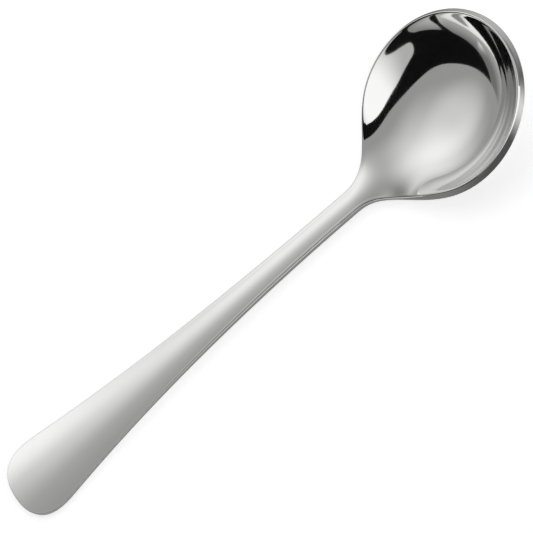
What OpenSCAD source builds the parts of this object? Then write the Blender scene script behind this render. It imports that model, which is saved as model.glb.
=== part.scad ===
// Round soup spoon, pressed from one stainless steel blank.
// Two solids, the bowl and the handle, meet face to face across the narrowest section of the neck.
// The spoon lies on a table: x runs from the handle's end to the bowl's tip, y to the left, z up.

/* [Overall] */
// Length from the handle's end to the bowl's tip
overall_length = 175; // [140:1:230]

/* [Bowl] */
// Width of the bowl, across the middle of its rim
bowl_width = 46.4; // [36:0.2:56]
// Length from the widest section of the bowl to its tip
bowl_tip_length = 23.7; // [18:0.1:32]
// Depth of the hollow below its rim
bowl_depth = 8.1; // [5:0.1:16]
// Fullness of the hollow at its sides and back: 2 is a dish, more is flatter below and steeper at the rim
side_fullness = 3; // [1.7:0.1:4]
// Fullness of the hollow at its tip
tip_fullness = 4.2; // [1.7:0.1:5]
// Thickness of the metal at the rim
rim_thickness = 2.2; // [1.2:0.1:3]
// Thickness of the metal at the bottom of the bowl
bowl_wall = 1.3; // [0.8:0.1:2]
// Angle between the rim and the table, in degrees
rim_tilt = 11.2; // [0:0.1:16]

/* [Neck] */
// Width of the neck at its narrowest section
neck_width = 6; // [4:0.1:12]
// Thickness of the neck at its edges
neck_thickness = 2.4; // [1.5:0.1:4]
// Length from the narrowest section of the neck to the widest section of the bowl
shoulder_length = 35.7; // [30:0.1:48]
// Point where the shoulder leaves the bowl's ellipse, as a share of the bowl's half length
shoulder_start = 0.52; // [0.4:0.02:0.74]
// Length of neck in front of its narrowest section that stays in line with the handle
neck_straight = 5.4; // [0:0.1:9]

/* [Handle] */
// Width of the handle where its end starts to round
handle_end_width = 19.7; // [12:0.1:28]
// Length of the rounded end
end_round_length = 13.5; // [6:0.1:20]
// Squareness of the rounded end: 2 is an ellipse
end_squareness = 2.5; // [2:0.05:4]
// Power of the taper: 1 widens evenly, more widens late
taper_power = 2.1; // [1:0.1:3]
// Thickness of the handle at its edges, near its end
end_thickness = 1.2; // [0.8:0.1:3]
// Rise of the top face above its edges where the handle is widest
handle_crown = 1; // [0.1:0.1:2]
// Angle between the handle and the table, in degrees
handle_tilt = 0.7; // [0:0.1:4]
// Bow of the handle above a straight line from its end to its neck
handle_bow = 0.9; // [0:0.1:3]

/* [Edges] */
// Bulge of the polished edges, as a share of the thickness
edge_bulge = 0.4; // [0.15:0.05:0.5]
// Squareness of the polished edges: 2 is fully round
edge_squareness = 5; // [2:0.1:6]
// Angle by which the edge of the bowl is turned down from square to its wall, in degrees
rim_lean = 15; // [0:1:25]

/* [Hidden] */

// Finish of the metal
steel = [0.79, 0.79, 0.80];

// Step for slopes, and the counts of sections and points that draw the curves
tiny = 0.005;
end_steps = 12;
taper_steps = 24;
shoulder_steps = 16;
back_steps = 10;
front_steps = 17;
across_steps = 18;
edge_points = 5;
// Last section before the tip and first before the handle's end, as angles round their curves
tip_angle = 88.5;
end_angle = 3;

// Half sizes of the sheet inside its rounded edges
rim_round = edge_bulge * rim_thickness;
neck_round = edge_bulge * neck_thickness;
end_round = edge_bulge * end_thickness;
bowl_half_length = bowl_tip_length - rim_round;
bowl_half_width = bowl_width / 2 - rim_round;
neck_half = neck_width / 2 - neck_round;
end_half = handle_end_width / 2 - end_round;

// Places along the spoon
end_x = end_round;
round_x = end_x + end_round_length;
bowl_x = overall_length - bowl_tip_length;
neck_x = bowl_x - shoulder_length;
shoulder_x = bowl_x - shoulder_start * bowl_half_length;
bend_x = neck_x + neck_straight;
// Share of the hollow round its middle that the tip's fullness leaves alone
hollow_core = 0.3;
// Power of the hollow's curve behind the widest section, which it passes smoothly
hollow_power = pow(shoulder_length / bowl_half_length, 2);

// Smooth step from 0 at a to 1 at b, with no jump in slope or curvature
function step5(x, a, b) =
    let (t = min(1, max(0, (x - a) / (b - a))))
    t * t * t * (t * (6 * t - 15) + 10);

// Curve over 0 to 1 with given values, slopes and curvatures at both ends of a span
function quintic(u, span, p0, p1, slope1, bend1) =
    let (rise = p1 - p0, d = slope1 * span, c = bend1 * span * span)
    p0 + (10 * rise - 4 * d + 0.5 * c) * pow(u, 3)
       + (7 * d - 15 * rise - c) * pow(u, 4)
       + (6 * rise - 3 * d + 0.5 * c) * pow(u, 5);

// Half width of the handle before its end is rounded
function taper(x) =
    neck_half + (end_half - neck_half) * pow(max(0, (neck_x - x) / (neck_x - round_x)), taper_power);

// Share of that width that the rounded end leaves
function end_share(x) =
    let (t = min(1, max(0, 1 - (x - end_x) / end_round_length)))
    pow(1 - pow(t, end_squareness), 1 / end_squareness);

// Half width of the bowl's ellipse
function ellipse(x) =
    bowl_half_width * sqrt(max(0, 1 - pow((x - bowl_x) / bowl_half_length, 2)));

// Half width of the shoulder, which leaves the neck straight and joins the ellipse smoothly
function shoulder(x) =
    let (
        e = shoulder_start,
        c = sqrt(1 - e * e),
        slope = bowl_half_width / bowl_half_length * e / c,
        bend = -bowl_half_width / pow(bowl_half_length, 2) / pow(c, 3)
    )
    quintic((x - neck_x) / (shoulder_x - neck_x), shoulder_x - neck_x,
        neck_half, bowl_half_width * c, slope, bend);

// Half width of the spoon in plan, with and without the rounded end
function uncut_half(x) = x <= neck_x ? taper(x) : x < shoulder_x ? shoulder(x) : ellipse(x);
function half(x) = uncut_half(x) * (x <= neck_x ? end_share(x) : 1);

// Share of the full depth of the hollow: 1 at its middle, 0 at the rim and at the neck
function hollow(x, y) =
    let (along = (x - bowl_x) / bowl_half_length)
    along > 0
        ? 1 - along * along - pow(y / bowl_half_width, 2)
        : keel_share(x) * (1 - pow(y / uncut_half(x), 2));
function fall(share, fullness) = bowl_depth * (1 - pow(max(0, 1 - share), fullness / 2));
function depth(x, y) = fall(hollow(x, y), fullness(x, y));

// Fullness of the hollow, which grows from its sides and its middle towards the tip
function fullness(x, y) =
    let (
        along = max(0, (x - bowl_x) / bowl_half_length),
        radius = along * along + pow(y / bowl_half_width, 2),
        toward_tip = along / sqrt(hollow_core + (1 - hollow_core) * radius)
    )
    side_fullness + (tip_fullness - side_fullness) * pow(toward_tip, 3);

// That share along the centre line: in the back of the bowl, and in the shoulder under the keel line
function back_share(x) =
    let (along = (x - bowl_x) / bowl_half_length)
    pow(max(0, 1 - along * along / hollow_power), hollow_power);
function keel_share(x) =
    x >= shoulder_x ? back_share(x) :
    x <= bend_x ? 0 :
    1 - pow(max(0, 1 - (edge_z(x) - keel_z(x)) / bowl_depth), 2 / side_fullness);

// How far the bowl has taken over from the handle
function bowl_share(x) = step5(x, neck_x, shoulder_x);

// Crown of the handle's top face, in step with its width
function crown(x, y) =
    x > shoulder_x ? 0 :
    handle_crown * taper(x) / end_half * (1 - bowl_share(x)) * (1 - pow(y / uncut_half(x), 2));

// Thickness of the metal
function edge_thickness(x) =
    let (t = end_thickness + (neck_thickness - end_thickness) * step5(x, end_x, neck_x))
    t + (rim_thickness - t) * bowl_share(x);
function thickness(x, y) =
    edge_thickness(x) + crown(x, y)
    - (rim_thickness - bowl_wall) * bowl_share(x) * min(1, max(0, hollow(x, y)));

// Height of the rim at the widest section, so that the bowl's underside just meets the table
rim_z = max([for (i = [0 : 1 : 100])
    let (x = shoulder_x + (bowl_x + bowl_half_length - shoulder_x) * i / 100)
    depth(x, 0) + thickness(x, 0) / 2 - tan(rim_tilt) * (x - bowl_x)]);

// Height of the edge line: the handle's slope and bow, then the bend up to the rim
function handle_z(x) =
    let (u = (x - end_x) / (neck_x - end_x))
    end_thickness / 2 + tan(handle_tilt) * x + 4 * handle_bow * u * (1 - u);
function rim_line(x) = rim_z + tan(rim_tilt) * (x - bowl_x);
function edge_z(x) = handle_z(x) + (rim_line(x) - handle_z(x)) * step5(x, bend_x, shoulder_x);

// Height of the centre line in the shoulder, which leaves the handle straight and joins the bowl smoothly
function bowl_keel(x) = rim_line(x) - fall(back_share(x), side_fullness);
function slope_of(low, high) = (high - low) / (2 * tiny);
keel_slope = slope_of(bowl_keel(shoulder_x - tiny), bowl_keel(shoulder_x + tiny));
keel_bend = bowl_keel(shoulder_x + 1) - 2 * bowl_keel(shoulder_x) + bowl_keel(shoulder_x - 1);
neck_slope = slope_of(handle_z(bend_x - tiny), handle_z(bend_x + tiny));
function keel_z(x) =
    let (span = shoulder_x - bend_x)
    neck_slope * (x - bend_x)
    + quintic((x - bend_x) / span, span, handle_z(bend_x),
        bowl_keel(shoulder_x) - neck_slope * span, keel_slope - neck_slope, keel_bend);

// Middle of the sheet, and the direction square to it
function middle(x, y) = edge_z(x) - depth(x, y) + crown(x, y) / 2;
function unit(v) = v / norm(v);
function square_to(x, y) =
    unit([
        -slope_of(middle(x - tiny, y), middle(x + tiny, y)) * bowl_share(x),
        -slope_of(middle(x, y - tiny), middle(x, y + tiny)),
        1
    ]);

// One point of the top face (up = 1) or of the underside (up = -1)
function face_point(x, y, up) = [x, y, middle(x, y)] + up * thickness(x, y) / 2 * square_to(x, y);

// One point of the rounded edge, at an angle from 90 on the top face to -90 on the underside
function edge_point(x, side, angle) =
    let (
        y = side * half(x),
        along = [
            1,
            side * slope_of(half(x - tiny), half(x + tiny)),
            slope_of(edge_z(x - tiny), edge_z(x + tiny))
        ],
        up = square_to(x, y),
        out = unit(cross(up, along)) * side,
        power = 2 / edge_squareness,
        rise = sign(angle) * pow(abs(sin(angle)), power),
        reach = edge_bulge + tan(rim_lean) / 2 * bowl_share(x) * rise
    )
    [x, y, middle(x, y)]
    + out * reach * edge_thickness(x) * pow(cos(angle), power)
    + up * thickness(x, y) / 2 * rise;

// One closed section: top face right to left, left edge, underside left to right, right edge
function section(x) =
    let (
        w = half(x),
        turns = [for (i = [1 : 1 : edge_points]) 90 - 180 * i / (edge_points + 1)],
        points = [
            for (i = [0 : 1 : across_steps]) face_point(x, w * (2 * i / across_steps - 1), 1),
            for (a = turns) edge_point(x, 1, a),
            for (i = [0 : 1 : across_steps]) face_point(x, w * (1 - 2 * i / across_steps), -1),
            for (a = turns) edge_point(x, -1, -a)
        ]
    )
    x == neck_x ? [for (p = points) [x, p.y, p.z]] : points;

section_points = 2 * (across_steps + 1) + 2 * edge_points;
left_start = across_steps + 1;
under_start = left_start + edge_points;
right_start = section_points - edge_points;

// Triangles of the skin between sections
function skin_faces(count) =
    [for (r = [0 : 1 : count - 2], i = [0 : 1 : section_points - 1])
        let (
            a = r * section_points + i,
            b = r * section_points + (i + 1) % section_points,
            c = a + section_points,
            d = b + section_points
        )
        each [[a, b, c], [b, d, c]]];

// Triangles that close an end in strips from edge to edge, so that the end is rounded too
function end_faces(base, turned) =
    let (
        faces = [
            for (i = [0 : 1 : across_steps - 1]) [i + 1, i, left_start],
            for (k = [0 : 1 : edge_points - 1])
                let (
                    left = left_start + k,
                    right = section_points - 1 - k,
                    above = k == 0 ? 0 : right + 1
                )
                each [[left, above, right], [left, right, left + 1]],
            for (i = [under_start : 1 : under_start + across_steps - 1]) [right_start, i + 1, i]
        ]
    )
    [for (f = faces) [for (k = turned ? [2, 1, 0] : [0, 1, 2]) base + f[k]]];

// Solid through a row of sections
module loft(stations) {
    points = [for (x = stations) each section(x)];
    count = len(stations);
    polyhedron(
        points,
        concat(skin_faces(count), end_faces(0, false), end_faces((count - 1) * section_points, true))
    );
}

handle_stations = [
    for (i = [0 : 1 : end_steps - 1])
        let (a = end_angle + (90 - end_angle) * i / end_steps)
        end_x + end_round_length * (1 - pow(cos(a), 2 / end_squareness)),
    for (i = [0 : 1 : taper_steps - 1]) round_x + (neck_x - round_x) * i / taper_steps,
    neck_x
];

bowl_stations = [
    for (i = [0 : 1 : shoulder_steps - 1]) neck_x + (shoulder_x - neck_x) * i / shoulder_steps,
    for (i = [0 : 1 : back_steps - 1]) shoulder_x + (bowl_x - shoulder_x) * i / back_steps,
    for (i = [0 : 1 : front_steps]) bowl_x + bowl_half_length * sin(tip_angle * i / front_steps)
];

// The hollow bowl, its rim and its shoulders, back to the neck
module bowl() {
    color(steel)
        translate([-overall_length / 2, 0, 0])
            loft(bowl_stations);
}

// The tapered handle with its rounded end, up to the neck
module handle() {
    color(steel)
        translate([-overall_length / 2, 0, 0])
            loft(handle_stations);
}

bowl();
handle();
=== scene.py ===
# A round soup spoon of polished stainless steel, lying on a pale table under soft studio light.
# The spoon is one pressed piece, so the sections below follow its blank from the handle to the rim,
# then its skin, its steel, and the studio round it. Sizes of the spoon are in millimetres.
import math

import bpy
import numpy as np
from mathutils import Matrix, Vector


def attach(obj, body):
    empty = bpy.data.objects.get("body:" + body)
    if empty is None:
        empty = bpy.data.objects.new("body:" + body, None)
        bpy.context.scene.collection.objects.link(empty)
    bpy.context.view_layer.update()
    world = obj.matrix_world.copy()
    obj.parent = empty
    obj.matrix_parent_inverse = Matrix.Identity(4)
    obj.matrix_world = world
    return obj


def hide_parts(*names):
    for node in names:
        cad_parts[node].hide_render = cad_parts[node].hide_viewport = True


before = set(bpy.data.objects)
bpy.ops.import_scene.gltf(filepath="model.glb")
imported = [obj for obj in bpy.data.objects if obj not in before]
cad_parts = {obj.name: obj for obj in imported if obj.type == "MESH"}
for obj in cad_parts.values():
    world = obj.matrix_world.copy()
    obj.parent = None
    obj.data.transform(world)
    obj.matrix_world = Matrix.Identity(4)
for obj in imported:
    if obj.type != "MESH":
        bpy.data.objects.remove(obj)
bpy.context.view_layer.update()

# Handle: the blade that the hand holds, stamped out with the rest of the spoon from stainless sheet.
# It widens from the neck to a rounded end, its top is a little crowned and it bows off the table.
OVERALL_LENGTH = 175.0
NECK_WIDTH = 6.0
NECK_THICKNESS = 2.4
HANDLE_END_WIDTH = 19.7
END_THICKNESS = 1.2
END_ROUND_LENGTH = 13.5
END_SQUARENESS = 2.5
TAPER_POWER = 2.1
HANDLE_CROWN = 1.0
HANDLE_SLOPE = math.tan(math.radians(0.7))
HANDLE_BOW = 0.9
EDGE_BULGE = 0.4
BOWL_TIP_LENGTH = 23.7
SHOULDER_LENGTH = 35.7

BOWL_X = OVERALL_LENGTH - BOWL_TIP_LENGTH
NECK_X = BOWL_X - SHOULDER_LENGTH
END_X = EDGE_BULGE * END_THICKNESS
ROUND_X = END_X + END_ROUND_LENGTH
NECK_HALF = NECK_WIDTH / 2 - EDGE_BULGE * NECK_THICKNESS
END_HALF = HANDLE_END_WIDTH / 2 - EDGE_BULGE * END_THICKNESS


def smooth_step(x, start, end):
    t = np.clip((x - start) / (end - start), 0, 1)
    return t**3 * (t * (6 * t - 15) + 10)


def taper_half(x):
    share = np.maximum(0, (NECK_X - x) / (NECK_X - ROUND_X))
    return NECK_HALF + (END_HALF - NECK_HALF) * share**TAPER_POWER


def end_share(x):
    t = np.clip(1 - (x - END_X) / END_ROUND_LENGTH, 0, 1)
    return (1 - t**END_SQUARENESS) ** (1 / END_SQUARENESS)


def handle_height(x):
    u = (x - END_X) / (NECK_X - END_X)
    return END_THICKNESS / 2 + HANDLE_SLOPE * x + 4 * HANDLE_BOW * u * (1 - u)


# Bowl: the round hollow that holds the soup, drawn down from the same sheet between two dies.
# The metal thins towards the bottom of the hollow, and the rim is tipped up towards the tip.
BOWL_WIDTH = 46.4
BOWL_DEPTH = 8.1
SIDE_FULLNESS = 3.0
TIP_FULLNESS = 4.2
HOLLOW_CORE = 0.3
TIP_GATHER = 3
BOWL_WALL = 1.3
RIM_THICKNESS = 2.2
RIM_SLOPE = math.tan(math.radians(11.2))
SHOULDER_START = 0.52
KEEL_POINTS = 101

RIM_ROUND = EDGE_BULGE * RIM_THICKNESS
BOWL_HALF_LENGTH = BOWL_TIP_LENGTH - RIM_ROUND
BOWL_HALF_WIDTH = BOWL_WIDTH / 2 - RIM_ROUND
TIP_X = BOWL_X + BOWL_HALF_LENGTH
SHOULDER_X = BOWL_X - SHOULDER_START * BOWL_HALF_LENGTH
HOLLOW_POWER = (SHOULDER_LENGTH / BOWL_HALF_LENGTH) ** 2


def ellipse_half(x):
    return BOWL_HALF_WIDTH * np.sqrt(np.maximum(0, 1 - ((x - BOWL_X) / BOWL_HALF_LENGTH) ** 2))


def fall(share, fullness):
    return BOWL_DEPTH * (1 - np.maximum(0, 1 - share) ** (fullness / 2))


def fullness_at(x, y):
    along = np.maximum(0, (x - BOWL_X) / BOWL_HALF_LENGTH)
    radius = along**2 + (y / BOWL_HALF_WIDTH) ** 2
    toward_tip = along / np.sqrt(HOLLOW_CORE + (1 - HOLLOW_CORE) * radius)
    return SIDE_FULLNESS + (TIP_FULLNESS - SIDE_FULLNESS) * toward_tip**TIP_GATHER


def back_share(x):
    along = (x - BOWL_X) / BOWL_HALF_LENGTH
    return np.maximum(0, 1 - along**2 / HOLLOW_POWER) ** HOLLOW_POWER


# The bowl rests on the table, which sets how high its rim stands.
keel_x = np.linspace(SHOULDER_X, TIP_X, KEEL_POINTS)
keel_along = (keel_x - BOWL_X) / BOWL_HALF_LENGTH
keel_hollow = np.where(keel_along > 0, 1 - keel_along**2, back_share(keel_x))
keel_thickness = RIM_THICKNESS - (RIM_THICKNESS - BOWL_WALL) * np.clip(keel_hollow, 0, 1)
keel_depth = fall(keel_hollow, fullness_at(keel_x, 0.0))
RIM_Z = (keel_depth + keel_thickness / 2 - RIM_SLOPE * (keel_x - BOWL_X)).max()


def rim_height(x):
    return RIM_Z + RIM_SLOPE * (x - BOWL_X)


def bowl_keel(x):
    return rim_height(x) - fall(back_share(x), SIDE_FULLNESS)


# Neck and shoulders: the narrow stem of the blank, which opens into the bowl in one smooth sweep.
# The press bends it up to the rim line while the hollow starts under it, with no step or crease.
NECK_STRAIGHT = 5.4
SLOPE_STEP = 0.005
LEAST_HALF = 1e-9

BEND_X = NECK_X + NECK_STRAIGHT
BLEND_LENGTH = SHOULDER_X - BEND_X


def slope_of(curve, x):
    return (curve(x + SLOPE_STEP) - curve(x - SLOPE_STEP)) / (2 * SLOPE_STEP)


def joining_curve(x, start, end, low, high, slope, bend):
    u = (x - start) / (end - start)
    rise = high - low
    d = slope * (end - start)
    c = bend * (end - start) ** 2
    return (
        low
        + (10 * rise - 4 * d + 0.5 * c) * u**3
        + (7 * d - 15 * rise - c) * u**4
        + (6 * rise - 3 * d + 0.5 * c) * u**5
    )


NECK_SLOPE = slope_of(handle_height, BEND_X)
KEEL_SLOPE = slope_of(bowl_keel, SHOULDER_X)
KEEL_BEND = bowl_keel(SHOULDER_X + 1) - 2 * bowl_keel(SHOULDER_X) + bowl_keel(SHOULDER_X - 1)
SHOULDER_SIDE = math.sqrt(1 - SHOULDER_START**2)
SHOULDER_SLOPE = BOWL_HALF_WIDTH / BOWL_HALF_LENGTH * SHOULDER_START / SHOULDER_SIDE
SHOULDER_BEND = -BOWL_HALF_WIDTH / BOWL_HALF_LENGTH**2 / SHOULDER_SIDE**3


def shoulder_half(x):
    return joining_curve(
        x, NECK_X, SHOULDER_X, NECK_HALF, BOWL_HALF_WIDTH * SHOULDER_SIDE, SHOULDER_SLOPE, SHOULDER_BEND
    )


def uncut_half(x):
    in_front = np.where(x < SHOULDER_X, shoulder_half(x), ellipse_half(x))
    return np.where(x <= NECK_X, taper_half(x), in_front)


def half_width(x):
    return uncut_half(x) * np.where(x <= NECK_X, end_share(x), 1.0)


def bowl_share(x):
    return smooth_step(x, NECK_X, SHOULDER_X)


def edge_height(x):
    raised = (rim_height(x) - handle_height(x)) * smooth_step(x, BEND_X, SHOULDER_X)
    return handle_height(x) + raised


def keel_height(x):
    high = bowl_keel(SHOULDER_X) - NECK_SLOPE * BLEND_LENGTH
    curve = joining_curve(
        x, BEND_X, SHOULDER_X, handle_height(BEND_X), high, KEEL_SLOPE - NECK_SLOPE, KEEL_BEND
    )
    return NECK_SLOPE * (x - BEND_X) + curve


def hollow_share(x, y):
    along = (x - BOWL_X) / BOWL_HALF_LENGTH
    sunk = np.maximum(0, 1 - (edge_height(x) - keel_height(x)) / BOWL_DEPTH)
    blend = np.where(x <= BEND_X, 0.0, 1 - sunk ** (2 / SIDE_FULLNESS))
    keel = np.where(x >= SHOULDER_X, back_share(x), blend)
    across = y / np.maximum(uncut_half(x), LEAST_HALF)
    return np.where(along > 0, 1 - along**2 - (y / BOWL_HALF_WIDTH) ** 2, keel * (1 - across**2))


def crown(x, y):
    across = y / np.maximum(uncut_half(x), LEAST_HALF)
    rise = HANDLE_CROWN * taper_half(x) / END_HALF * (1 - bowl_share(x))
    return np.where(x > SHOULDER_X, 0.0, rise * (1 - across**2))


# Edges: the sheared outline of the blank, ground to a narrow land and buffed so that it is safe to the lips.
# Round the bowl the land is turned down and out, so its upper corner, beside the hollow, is the crisper.
LAND_LEAN = math.tan(math.radians(15))
EDGE_SQUARENESS = 5.0
EDGE_POINTS = 25
STEP_NEAR_ENDS = 0.2


def edge_thickness(x):
    handle = END_THICKNESS + (NECK_THICKNESS - END_THICKNESS) * smooth_step(x, END_X, NECK_X)
    return handle + (RIM_THICKNESS - handle) * bowl_share(x)


def thickness(x, y):
    thinned = (RIM_THICKNESS - BOWL_WALL) * bowl_share(x) * np.clip(hollow_share(x, y), 0, 1)
    return edge_thickness(x) + crown(x, y) - thinned


def middle(x, y):
    return edge_height(x) - fall(hollow_share(x, y), fullness_at(x, y)) + crown(x, y) / 2


def unit(vectors):
    return vectors / np.linalg.norm(vectors, axis=-1, keepdims=True)


def square_to(x, y):
    along = slope_of(lambda at: middle(at, y), x) * bowl_share(x)
    across = slope_of(lambda at: middle(x, at), y)
    return unit(np.stack([-along, -across, np.ones_like(along)], -1))


def face_points(x, y, up):
    sheet = np.stack([x, y, middle(x, y)], -1)
    return sheet + up * thickness(x, y)[..., None] / 2 * square_to(x, y)


def edge_points(x, side, turns):
    y = side * half_width(x)
    step = np.minimum(SLOPE_STEP, STEP_NEAR_ENDS * np.minimum(x - END_X, TIP_X - x))
    outline_slope = (half_width(x + step) - half_width(x - step)) / (2 * step)
    along = np.stack([np.ones_like(x), side * outline_slope, slope_of(edge_height, x)], -1)
    up = square_to(x, y)
    out = side * unit(np.cross(up, along))
    power = 2 / EDGE_SQUARENESS
    share = np.sign(turns) * np.abs(np.sin(turns)) ** power
    leaning = EDGE_BULGE + LAND_LEAN / 2 * bowl_share(x)[:, None] * share
    reach = edge_thickness(x)[:, None] * leaning
    proud = reach * np.cos(turns) ** power
    raised = (thickness(x, y) / 2)[:, None] * share
    sheet = np.stack([x, y, middle(x, y)], -1)
    return sheet[:, None] + out[:, None] * proud[..., None] + up[:, None] * raised[..., None]


# Skin: the whole pressed spoon as one closed surface, since the real one has no joint or weld.
# Closed sections run from the handle's end to the tip, and strips close the two ends.
END_SECTIONS = 36
TAPER_SECTIONS = 90
SHOULDER_SECTIONS = 60
BACK_SECTIONS = 36
FRONT_SECTIONS = 72
ACROSS_POINTS = 97
FIRST_ANGLE = math.radians(0.4)
LAST_ANGLE = math.radians(89.85)
MM = 0.001

end_turn = np.linspace(FIRST_ANGLE, math.pi / 2, END_SECTIONS, endpoint=False)
tip_turn = np.linspace(0, LAST_ANGLE, FRONT_SECTIONS)
stations = np.concatenate([
    END_X + END_ROUND_LENGTH * (1 - np.cos(end_turn) ** (2 / END_SQUARENESS)),
    np.linspace(ROUND_X, NECK_X, TAPER_SECTIONS, endpoint=False),
    np.linspace(NECK_X, SHOULDER_X, SHOULDER_SECTIONS, endpoint=False),
    np.linspace(SHOULDER_X, BOWL_X, BACK_SECTIONS, endpoint=False),
    BOWL_X + BOWL_HALF_LENGTH * np.sin(tip_turn),
])
across = np.linspace(-1, 1, ACROSS_POINTS)
# The edge's points are spread over its flats as well as its corners, so that its mirror stays even.
edge_shares = np.linspace(1, -1, EDGE_POINTS + 2)[1:-1]
edge_spread = 1 - (1 - np.abs(edge_shares)) ** (EDGE_SQUARENESS / 2)
edge_turns = math.pi / 2 * np.sign(edge_shares) * edge_spread
section_x = np.repeat(stations[:, None], ACROSS_POINTS, 1)
section_y = half_width(stations)[:, None] * across
rings = np.concatenate([
    face_points(section_x, section_y, 1),
    edge_points(stations, 1, edge_turns),
    face_points(section_x, -section_y, -1),
    edge_points(stations, -1, -edge_turns),
], 1)
ring_count, ring_size = rings.shape[:2]
left_start = ACROSS_POINTS
under_start = left_start + EDGE_POINTS
right_start = under_start + ACROSS_POINTS

# Each face runs anticlockwise as seen from outside, so that the steel's faces look outwards.
faces = []
for ring in range(ring_count - 1):
    for i in range(ring_size):
        here = ring * ring_size + i
        beside = ring * ring_size + (i + 1) % ring_size
        faces.append((here, here + ring_size, beside + ring_size, beside))

# Each end is closed by strips from its left edge to its right one, with the flat faces as two fans.
last_ring = (ring_count - 1) * ring_size
for base, turned in ((0, True), (last_ring, False)):
    strips = [tuple(range(left_start - 1, -1, -1)) + (ring_size - 1, left_start)]
    for k in range(EDGE_POINTS - 1):
        left = left_start + k
        right = ring_size - 1 - k
        strips.append((left, right, right - 1, left + 1))
    strips.append((under_start - 1, right_start) + tuple(range(right_start - 1, under_start - 1, -1)))
    for strip in strips:
        corners = tuple(base + i for i in strip)
        faces.append(corners[::-1] if turned else corners)

points = rings.reshape(-1, 3) - (OVERALL_LENGTH / 2, 0, 0)
skin = bpy.data.meshes.new("spoon")
skin.from_pydata((points * MM).tolist(), [], faces)
skin.validate()
skin.shade_smooth()
spoon = bpy.data.objects.new("spoon", skin)
bpy.context.scene.collection.objects.link(spoon)
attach(spoon, "root")
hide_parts("bowl", "handle")


# Steel: 18/10 stainless, ground, then buffed on cloth wheels to a mirror. The eye gets clear, neutral
# grey reflections, with a slight haze that drifts over the surface and faint buffing lines along it.
def linear(hex_colour):
    channels = [int(hex_colour[i : i + 2], 16) / 255 for i in (1, 3, 5)]
    return [c / 12.92 if c <= 0.04045 else ((c + 0.055) / 1.055) ** 2.4 for c in channels] + [1.0]


def add_node(tree, kind, inputs=None, **settings):
    made = tree.nodes.new(kind)
    for name, value in settings.items():
        setattr(made, name, value)
    for socket, value in (inputs or {}).items():
        if isinstance(value, bpy.types.NodeSocket):
            tree.links.new(value, made.inputs[socket])
        else:
            made.inputs[socket].default_value = value
    return made


def start_material(name):
    material = bpy.data.materials.new(name)
    material.use_nodes = True
    material.node_tree.nodes.clear()
    return material, material.node_tree


STEEL = linear("#E0E0DF")
STEEL_HAZED = linear("#DCDCDB")
CLEAR_ROUGHNESS = 0.035
HAZED_ROUGHNESS = 0.075
HAZE_PATCH = 9.0
HAZE_STARTS = 0.35
HAZE_FULL = 0.7
# Real buffing lines lie about 0.05 mm apart. They are drawn coarser, so that a picture can show them.
LINE_PITCH = 0.35
LINE_LENGTH = 25.0
LINE_DEPTH = 0.0006
LINE_ROUGHNESS = 0.02

steel, tree = start_material("stainless_steel_mirror_buffed")
place = add_node(tree, "ShaderNodeTexCoord").outputs["Object"]
haze = add_node(tree, "ShaderNodeTexNoise", {"Vector": place, "Scale": 1 / (HAZE_PATCH * MM), "Detail": 3.0})
drawn_out = add_node(
    tree,
    "ShaderNodeMapping",
    {"Vector": place, "Scale": [1 / (size * MM) for size in (LINE_LENGTH, LINE_PITCH, LINE_PITCH)]},
)
lines = add_node(
    tree,
    "ShaderNodeTexNoise",
    {"Vector": drawn_out.outputs[0], "Scale": 1.0, "Detail": 2.0, "Roughness": 0.6},
)
dulled = add_node(
    tree,
    "ShaderNodeMapRange",
    {
        "Value": haze.outputs["Fac"],
        "From Min": HAZE_STARTS,
        "From Max": HAZE_FULL,
        "To Min": CLEAR_ROUGHNESS,
        "To Max": HAZED_ROUGHNESS,
    },
)
roughness = add_node(
    tree,
    "ShaderNodeMath",
    {0: lines.outputs["Fac"], 1: LINE_ROUGHNESS, 2: dulled.outputs[0]},
    operation="MULTIPLY_ADD",
)
tint = add_node(
    tree,
    "ShaderNodeMix",
    {"Factor": haze.outputs["Fac"], "A": STEEL, "B": STEEL_HAZED},
    data_type="RGBA",
)
relief = add_node(
    tree, "ShaderNodeBump", {"Strength": 1.0, "Distance": LINE_DEPTH * MM, "Height": lines.outputs["Fac"]}
)
shader = add_node(
    tree,
    "ShaderNodeBsdfPrincipled",
    {
        "Base Color": tint.outputs["Result"],
        "Metallic": 1.0,
        "Roughness": roughness.outputs[0],
        "Normal": relief.outputs[0],
    },
)
add_node(tree, "ShaderNodeOutputMaterial", {"Surface": shader.outputs[0]})
skin.materials.append(steel)

# Table: a smooth pale sweep that the spoon lies on. It is white to the camera and in the steel,
# and its matt surface keeps the soft shadow that the spoon drops on it.
TABLE_HALF = 6.0
TABLE_WHITE = linear("#F2F2F2")
TABLE_LIFT = 0.6


def stage_piece(name, corners, rings, material, seen):
    mesh = bpy.data.meshes.new(name)
    mesh.from_pydata([tuple(c) for c in corners], [], rings)
    mesh.materials.append(material)
    piece = bpy.data.objects.new(name, mesh)
    piece.visible_camera = seen
    bpy.context.scene.collection.objects.link(piece)
    return piece


def shown_rays(tree):
    path = add_node(tree, "ShaderNodeLightPath").outputs
    seen = path["Is Camera Ray"]
    for other in ("Is Glossy Ray", "Is Transmission Ray"):
        seen = add_node(tree, "ShaderNodeMath", {0: seen, 1: path[other]}, operation="MAXIMUM").outputs[0]
    return seen


table_white, tree = start_material("table_matt_white")
lift = add_node(tree, "ShaderNodeMath", {0: shown_rays(tree), 1: TABLE_LIFT}, operation="MULTIPLY")
matt = add_node(tree, "ShaderNodeBsdfDiffuse", {"Color": TABLE_WHITE})
glow = add_node(tree, "ShaderNodeEmission", {"Strength": lift.outputs[0]})
both = add_node(tree, "ShaderNodeAddShader", {0: matt.outputs[0], 1: glow.outputs[0]})
add_node(tree, "ShaderNodeOutputMaterial", {"Surface": both.outputs[0]})

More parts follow.
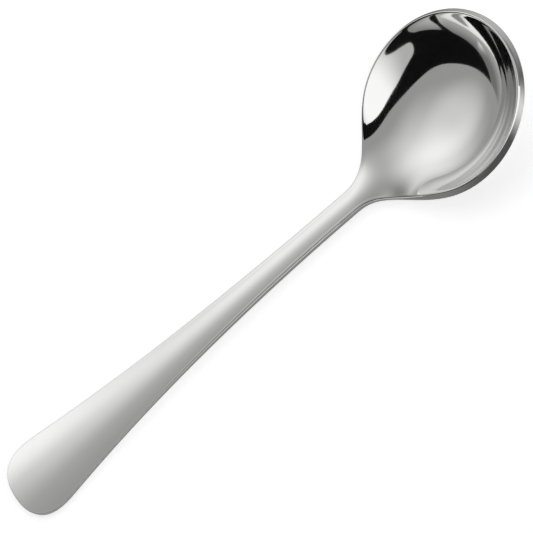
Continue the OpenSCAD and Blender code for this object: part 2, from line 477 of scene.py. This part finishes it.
table_corners = [(x * TABLE_HALF, y * TABLE_HALF, 0) for x, y in ((-1, -1), (1, -1), (1, 1), (-1, 1))]
stage_piece("table", table_corners, [(0, 1, 2, 3)], table_white, True)

# Diffuser: a big sheet of white fabric that leans over the spoon from its left, lit from behind.
# One lamp stands close behind it and gives the small bright spot, and another fills it more softly.
STUDIO_HEIGHT = 8.0
BOWL_CENTRE = Vector((BOWL_X - OVERALL_LENGTH / 2, 0, STUDIO_HEIGHT)) * MM
DIFFUSER_DISTANCE = 0.7
DIFFUSER_LEAN = math.radians(33.6)
DIFFUSER_CORNERS = ((-1.12, -0.88), (1.9, -1.98), (1.9, 1.48), (-1.12, 1.48))
DIFFUSER_ROUND = 0.3
CORNER_STEPS = 10
DIFFUSER_BASE = 0.39
FILL_LAMP_PLACE = (0.12, 0.33)
FILL_LAMP_REACH = (1.06, 1.34)
FILL_LAMP_GLOW = 0.69
NEAR_LAMP_PLACE = (-0.36, 0.1)
NEAR_LAMP_REACH = (0.67, 0.44)
NEAR_LAMP_GLOW = 0.32


def rounded(corners, reach):
    outline = []
    for i, corner in enumerate(corners):
        here = Vector(corner)
        start = here + (Vector(corners[i - 1]) - here).normalized() * reach
        end = here + (Vector(corners[(i + 1) % len(corners)]) - here).normalized() * reach
        for k in range(CORNER_STEPS + 1):
            t = k / CORNER_STEPS
            outline.append(start * (1 - t) ** 2 + here * 2 * t * (1 - t) + end * t**2)
    return outline


def hang(name, outline, material, centre, along, up, scale):
    corners = [(place.x, place.y, 0) for place in outline]
    piece = stage_piece(name, corners, [tuple(range(len(corners)))], material, False)
    axes = Matrix((along, up, along.cross(up))).transposed().to_4x4()
    piece.matrix_world = Matrix.Translation(centre) @ axes @ Matrix.Scale(scale, 4)
    return piece


def soft_spot(tree, place, centre, reach, strength):
    near = add_node(
        tree,
        "ShaderNodeMapping",
        {"Vector": place, "Location": (*centre, 0), "Scale": (*reach, 1)},
        vector_type="TEXTURE",
    )
    falloff = add_node(tree, "ShaderNodeTexGradient", {"Vector": near.outputs[0]}, gradient_type="SPHERICAL")
    return add_node(
        tree,
        "ShaderNodeMapRange",
        {"Value": falloff.outputs["Fac"], "To Max": strength},
        interpolation_type="SMOOTHSTEP",
    ).outputs[0]


diffuser_fabric, tree = start_material("diffuser_lit_fabric")
place = add_node(tree, "ShaderNodeTexCoord").outputs["Object"]
fill_lamp = soft_spot(tree, place, FILL_LAMP_PLACE, FILL_LAMP_REACH, FILL_LAMP_GLOW)
near_lamp = soft_spot(tree, place, NEAR_LAMP_PLACE, NEAR_LAMP_REACH, NEAR_LAMP_GLOW)
lamps = add_node(tree, "ShaderNodeMath", {0: fill_lamp, 1: near_lamp}, operation="ADD")
strength = add_node(tree, "ShaderNodeMath", {0: lamps.outputs[0], 1: DIFFUSER_BASE}, operation="ADD")
glow = add_node(tree, "ShaderNodeEmission", {"Strength": strength.outputs[0]})
add_node(tree, "ShaderNodeOutputMaterial", {"Surface": glow.outputs[0]})

facing = Vector((0, math.sin(DIFFUSER_LEAN), math.cos(DIFFUSER_LEAN)))
downhill = Vector((0, math.cos(DIFFUSER_LEAN), -math.sin(DIFFUSER_LEAN)))
hang(
    "diffuser",
    rounded(DIFFUSER_CORNERS, DIFFUSER_ROUND),
    diffuser_fabric,
    BOWL_CENTRE + facing * DIFFUSER_DISTANCE,
    Vector((1, 0, 0)),
    downhill,
    DIFFUSER_DISTANCE,
)

# Softbox: a smaller lamp with a white front on the spoon's right, which dims towards the handle's end.
# It puts the bright leaf shape inside the bowl, and lights the rim on that side.
SOFTBOX_DISTANCE = 0.6
SOFTBOX_CORNERS = (
    (-0.87, 0.6),
    (-0.24, 0.52),
    (0.03, 0.29),
    (0.34, 0.12),
    (2.0, 0.05),
    (2.0, 1.5),
    (0.7, 1.6),
    (-0.12, 1.52),
    (-0.93, 1.0),
)
SOFTBOX_ROUND = 0.16
SOFTBOX_DIM_END = -0.6
SOFTBOX_DIM_GLOW = 0.56
SOFTBOX_BRIGHT_END = 0.35
SOFTBOX_BRIGHT_GLOW = 1.28

softbox_front, tree = start_material("softbox_lit_fabric")
place = add_node(tree, "ShaderNodeTexCoord").outputs["Object"]
ends = add_node(tree, "ShaderNodeSeparateXYZ", {0: place})
strength = add_node(
    tree,
    "ShaderNodeMapRange",
    {
        "Value": ends.outputs["X"],
        "From Min": SOFTBOX_DIM_END,
        "From Max": SOFTBOX_BRIGHT_END,
        "To Min": SOFTBOX_DIM_GLOW,
        "To Max": SOFTBOX_BRIGHT_GLOW,
    },
    interpolation_type="SMOOTHSTEP",
)
glow = add_node(tree, "ShaderNodeEmission", {"Strength": strength.outputs[0]})
add_node(tree, "ShaderNodeOutputMaterial", {"Surface": glow.outputs[0]})
hang(
    "softbox",
    rounded(SOFTBOX_CORNERS, SOFTBOX_ROUND),
    softbox_front,
    BOWL_CENTRE - Vector((0, SOFTBOX_DISTANCE, 0)),
    Vector((1, 0, 0)),
    Vector((0, 0, 1)),
    SOFTBOX_DISTANCE,
)

# Drape: black velvet hung behind the handle's end and along the spoon's right, outside the lights.
# It gives the steel its deep blacks. Its hem sags between the corners and stops short of the table.
DRAPE_DISTANCE = 2.6
DRAPE_FROM = 135
DRAPE_TO = 330
DRAPE_TOP = 80
DRAPE_STEPS = 65
DRAPE_ROWS = 12
HEM_TURNS = (140, 154, 172, 196, 226, 236)
HEM_RISES = (22.5, 21, 16.8, 13, 17, 12)
VELVET_BLACK = linear("#2A2A2A")

velvet, tree = start_material("drape_black_velvet")
matt = add_node(tree, "ShaderNodeBsdfDiffuse", {"Color": VELVET_BLACK})
add_node(tree, "ShaderNodeOutputMaterial", {"Surface": matt.outputs[0]})


def seen_at(turn, rise, distance):
    turn = math.radians(turn)
    rise = math.radians(rise)
    level = math.cos(rise)
    return BOWL_CENTRE + distance * Vector((level * math.cos(turn), level * math.sin(turn), math.sin(rise)))


def curtain(name, turns, heights, distance, rows, material):
    corners = []
    for turn in turns:
        low, high = heights(turn)
        corners.extend(seen_at(turn, low + (high - low) * j / rows, distance) for j in range(rows + 1))
    faces = []
    for i in range(len(turns) - 1):
        for j in range(rows):
            here = i * (rows + 1) + j
            faces.append((here, here + 1, here + rows + 2, here + rows + 1))
    stage_piece(name, corners, faces, material, False)


drape_turns = [DRAPE_FROM + (DRAPE_TO - DRAPE_FROM) * i / DRAPE_STEPS for i in range(DRAPE_STEPS + 1)]
curtain(
    "drape",
    drape_turns,
    lambda turn: (float(np.interp(turn, HEM_TURNS, HEM_RISES)), DRAPE_TOP),
    DRAPE_DISTANCE,
    DRAPE_ROWS,
    velvet,
)

# Stand: the post and slanting arm that hold the drape up, wrapped in the same black velvet.
# It is seen in the bowl as a dark hook. Each corner is its bearing and its rise in degrees.
STAND_DISTANCE = 2.5
STAND_OUTLINE = (
    (191, 14.5),
    (199, 9.5),
    (202.5, 6),
    (203.5, -0.2),
    (211.5, -0.2),
    (211, 4),
    (207, 7.5),
    (204, 10),
    (201, 14.5),
)
stand_corners = [seen_at(turn, rise, STAND_DISTANCE) for turn, rise in STAND_OUTLINE]
stage_piece("stand", stand_corners, [tuple(range(len(stand_corners)))], velvet, False)

# Wall: grey paper behind the drape, which shows below its hem as a band. Its glow is painted light that
# darkens upwards.
# Past the stand it is brighter, a painted spill of light from the softbox.
WALL_DISTANCE = 2.8
WALL_FROM = 120
WALL_TO = 390
WALL_STEPS = 60
WALL_ROWS = 4
WALL_FOOT = -0.1
WALL_TOP = 26
WALL_LOW = 0.1
WALL_LOW_GLOW = 0.47
WALL_HIGH = 0.7
WALL_HIGH_GLOW = 0.2
SPILL_STARTS = -0.8
SPILL_FULL = -1.3
SPILL_GAIN = 1.5

wall_painted_light, tree = start_material("wall_paper_painted_light")
place = add_node(tree, "ShaderNodeTexCoord").outputs["Object"]
sides = add_node(tree, "ShaderNodeSeparateXYZ", {0: place})
# Painted light: the wall's glow fades with height, and a painted spill lifts it past the stand.
paper = add_node(
    tree,
    "ShaderNodeMapRange",
    {
        "Value": sides.outputs["Z"],
        "From Min": WALL_LOW,
        "From Max": WALL_HIGH,
        "To Min": WALL_LOW_GLOW,
        "To Max": WALL_HIGH_GLOW,
    },
)
spill = add_node(
    tree,
    "ShaderNodeMapRange",
    {
        "Value": sides.outputs["Y"],
        "From Min": SPILL_STARTS,
        "From Max": SPILL_FULL,
        "To Min": 1.0,
        "To Max": SPILL_GAIN,
    },
    interpolation_type="SMOOTHSTEP",
)
strength = add_node(tree, "ShaderNodeMath", {0: paper.outputs[0], 1: spill.outputs[0]}, operation="MULTIPLY")
glow = add_node(tree, "ShaderNodeEmission", {"Strength": strength.outputs[0]})
add_node(tree, "ShaderNodeOutputMaterial", {"Surface": glow.outputs[0]})
wall_turns = [WALL_FROM + (WALL_TO - WALL_FROM) * i / WALL_STEPS for i in range(WALL_STEPS + 1)]
curtain("wall", wall_turns, lambda turn: (WALL_FOOT, WALL_TOP), WALL_DISTANCE, WALL_ROWS, wall_painted_light)

# Strip: a low band of paper that stands round the bowl, all but its back left. It glows dark, with patches
# of painted light along its length.
# It is seen mostly in the polished rim, where its tones part the steel from the white table.
STRIP_RADIUS = 45.0
STRIP_HEIGHT = 22.0
STRIP_BACK_HEIGHT = 17.0
STRIP_FOOT = 18.0
STRIP_LIFT = 0.1
STRIP_RISE = (-130, -100)
STRIP_FROM = -160
STRIP_TO = 90
STRIP_STEPS = 50
STRIP_DARK = 0.1
# Each patch of painted light is its bearing and half width in degrees, and how much brighter it glows than
# the dark paper.
STRIP_PAINTED_LIGHTS = ((-145, 50, 0.15), (-47, 27, 0.78), (30, 65, 0.48))

strip_painted_light, tree = start_material("strip_paper_painted_light")
place = add_node(tree, "ShaderNodeTexCoord").outputs["Object"]
angle = add_node(tree, "ShaderNodeTexGradient", {"Vector": place}, gradient_type="RADIAL")
along = add_node(tree, "ShaderNodeCombineXYZ", {"X": angle.outputs["Fac"]}).outputs[0]
tone = STRIP_DARK
for turn, width, brighter in STRIP_PAINTED_LIGHTS:
    patch = soft_spot(tree, along, (turn / 360 + 0.5, 0), (width / 360, 1), brighter)
    tone = add_node(tree, "ShaderNodeMath", {0: patch, 1: tone}, operation="ADD").outputs[0]
glow = add_node(tree, "ShaderNodeEmission", {"Strength": tone})
add_node(tree, "ShaderNodeOutputMaterial", {"Surface": glow.outputs[0]})


def only_in_steel(piece):
    piece.visible_diffuse = False
    piece.visible_shadow = False


strip_corners = []
strip_faces = []
for i in range(STRIP_STEPS + 1):
    turn = STRIP_FROM + (STRIP_TO - STRIP_FROM) * i / STRIP_STEPS
    top = STRIP_BACK_HEIGHT + (STRIP_HEIGHT - STRIP_BACK_HEIGHT) * smooth_step(turn, *STRIP_RISE)
    aim = Vector((math.cos(math.radians(turn)), math.sin(math.radians(turn)), 0))
    fold = (STRIP_RADIUS, STRIP_LIFT)
    for radius, height in ((STRIP_RADIUS - STRIP_FOOT, STRIP_LIFT), fold, (STRIP_RADIUS, top)):
        strip_corners.append((aim * radius + Vector((0, 0, height))) * MM)
    for j in range(2):
        strip_faces.append((3 * i + j, 3 * i + j + 1, 3 * i + j + 4, 3 * i + j + 3))
strip = stage_piece("strip", strip_corners, strip_faces[:-2], strip_painted_light, False)
strip.location = (BOWL_CENTRE.x, BOWL_CENTRE.y, 0)
only_in_steel(strip)

# Net: a small piece of black net on a wire, held close over the shoulders and thickest in its middle.
# It dims the lamp spot in the steel there, so that the neck stays grey beside the bright hollow, and so
# makes up for shoulders that are probably shaped a little differently from the real ones.
NET_CENTRE = Vector((39.7, -1.2, 8.6)) * MM
NET_REACH = Vector((13.3, 9.7)) * MM
NET_SHADE = 0.71

net_mesh, tree = start_material("net_black_gauze")
place = add_node(tree, "ShaderNodeTexCoord").outputs["Object"]
shade = soft_spot(tree, place, (0, 0), NET_REACH, NET_SHADE)
passed = add_node(tree, "ShaderNodeMath", {0: 1.0, 1: shade}, operation="SUBTRACT")
gauze = add_node(tree, "ShaderNodeBsdfTransparent", {"Color": passed.outputs[0]})
add_node(tree, "ShaderNodeOutputMaterial", {"Surface": gauze.outputs[0]})
net_corners = [(x * NET_REACH.x, y * NET_REACH.y, 0) for x, y in ((-1, -1), (1, -1), (1, 1), (-1, 1))]
net = stage_piece("net", net_corners, [(0, 1, 2, 3)], net_mesh, False)
net.location = NET_CENTRE
only_in_steel(net)

# Reflector: a thin white card upright beside the end of the handle, on its left, that glows with painted
# light, brightest at its foot.
# It whitens the left half of the handle, which the diffuser alone would leave grey.
REFLECTOR_CENTRE = Vector((-105, 45, 5)) * MM
REFLECTOR_REACH = Vector((95, 64)) * MM
REFLECTOR_GLOW = 0.8
REFLECTOR_FOOT = 24 * MM

reflector_painted_light, tree = start_material("reflector_card_painted_light")
place = add_node(tree, "ShaderNodeTexCoord").outputs["Object"]
strength = soft_spot(tree, place, (0, 0), REFLECTOR_REACH, REFLECTOR_GLOW)
glow = add_node(tree, "ShaderNodeEmission", {"Strength": strength})
sheer = add_node(tree, "ShaderNodeBsdfTransparent")
both = add_node(tree, "ShaderNodeAddShader", {0: sheer.outputs[0], 1: glow.outputs[0]})
add_node(tree, "ShaderNodeOutputMaterial", {"Surface": both.outputs[0]})
reflector_corners = [
    Vector((-REFLECTOR_REACH.x, REFLECTOR_FOOT)),
    Vector((REFLECTOR_REACH.x, REFLECTOR_FOOT)),
    Vector((REFLECTOR_REACH.x, REFLECTOR_REACH.y)),
    Vector((-REFLECTOR_REACH.x, REFLECTOR_REACH.y)),
]
reflector = hang(
    "reflector",
    reflector_corners,
    reflector_painted_light,
    REFLECTOR_CENTRE,
    Vector((1, 0, 0)),
    Vector((0, 0, 1)),
    scale=1,
)
only_in_steel(reflector)

# Shade card: glowing paper on the table, from just inside the spoon's outline to a little past it, grey to
# white, which is a painted shadow of the spoon.
# It is seen only in the steel, and gives the polished edges the dark line of a close shadow.
CARD_LIFT = 0.05
CARD_REACH = 3.0
CARD_REACH_PER_HEIGHT = 2.2
CARD_ROWS = (-0.3, 0.0, 1.0)
CARD_DARK = 0.3
CARD_DARK_TO = 0.2
CARD_SKIP = 4

card_painted_shadow, tree = start_material("shade_card_painted_shadow")
away = add_node(tree, "ShaderNodeAttribute", attribute_name="away").outputs["Fac"]
tone = add_node(
    tree,
    "ShaderNodeMapRange",
    {"Value": away, "From Min": CARD_DARK_TO, "To Min": CARD_DARK},
    interpolation_type="SMOOTHSTEP",
)
glow = add_node(tree, "ShaderNodeEmission", {"Strength": tone.outputs[0]})
add_node(tree, "ShaderNodeOutputMaterial", {"Surface": glow.outputs[0]})

left_line = edge_points(stations[::CARD_SKIP], 1, np.zeros(1))[:, 0]
rim_line = np.concatenate([left_line, left_line[::-1] * (1, -1, 1)]) - (OVERALL_LENGTH / 2, 0, 0)
heading = unit(np.roll(rim_line, -1, 0) - np.roll(rim_line, 1, 0))
outward = unit(np.stack([-heading[:, 1], heading[:, 0]], -1))
reach = CARD_REACH + CARD_REACH_PER_HEIGHT * rim_line[:, 2:]
card_corners = []
card_faces = []
count = len(rim_line)
for share in CARD_ROWS:
    flat = rim_line[:, :2] + outward * reach * share
    card_corners.extend(Vector((x, y, CARD_LIFT)) * MM for x, y in flat)
for row in range(2):
    for i in range(count):
        here = row * count + i
        beside = row * count + (i + 1) % count
        card_faces.append((here, beside, beside + count, here + count))
card = stage_piece("shade_card", card_corners, card_faces, card_painted_shadow, False)
away_values = card.data.attributes.new("away", "FLOAT", "POINT")
away_values.data.foreach_set("value", [0.0] * (2 * count) + [1.0] * count)
only_in_steel(card)

# Room: plain white walls, far off. They are white behind the spoon and in its steel,
# and fill its shadow with a plain, even light.
ROOM_FILL = 0.6

world = bpy.data.worlds.new("room_white")
bpy.context.scene.world = world
world.use_nodes = True
tree = world.node_tree
tree.nodes.clear()
level = add_node(tree, "ShaderNodeMapRange", {"Value": shown_rays(tree), "To Min": ROOM_FILL})
white = add_node(tree, "ShaderNodeBackground", {"Strength": level.outputs[0]})
add_node(tree, "ShaderNodeOutputWorld", {"Surface": white.outputs[0]})

# Camera: a long lens a metre away, which looks down on the spoon from its right.
# It is rolled so that the spoon lies across the square picture from corner to corner.
VIEW_RISE = math.radians(59.904)
VIEW_TURN = math.radians(-66.541)
VIEW_ROLL = math.radians(-61.826)
VIEW_TARGET = Vector((3.092, -0.929, STUDIO_HEIGHT)) * MM
VIEW_DISTANCE = 1.0
PICTURE_PIXELS = 533
FOCAL_PIXELS = 3981.5
SENSOR_WIDTH = 36.0

toward = Vector((
    math.cos(VIEW_RISE) * math.cos(VIEW_TURN),
    math.cos(VIEW_RISE) * math.sin(VIEW_TURN),
    math.sin(VIEW_RISE),
))
level_right = Vector((0, 0, 1)).cross(toward).normalized()
level_up = toward.cross(level_right)
right = math.cos(VIEW_ROLL) * level_right + math.sin(VIEW_ROLL) * level_up
upward = math.cos(VIEW_ROLL) * level_up - math.sin(VIEW_ROLL) * level_right
lens = bpy.data.cameras.new("camera")
lens.sensor_width = SENSOR_WIDTH
lens.lens = SENSOR_WIDTH * FOCAL_PIXELS / PICTURE_PIXELS
camera = bpy.data.objects.new("camera", lens)
axes = Matrix((right, upward, toward)).transposed().to_4x4()
camera.matrix_world = Matrix.Translation(VIEW_TARGET + toward * VIEW_DISTANCE) @ axes
bpy.context.scene.collection.objects.link(camera)
bpy.context.scene.camera = camera
bpy.context.scene.view_settings.view_transform = "Standard"
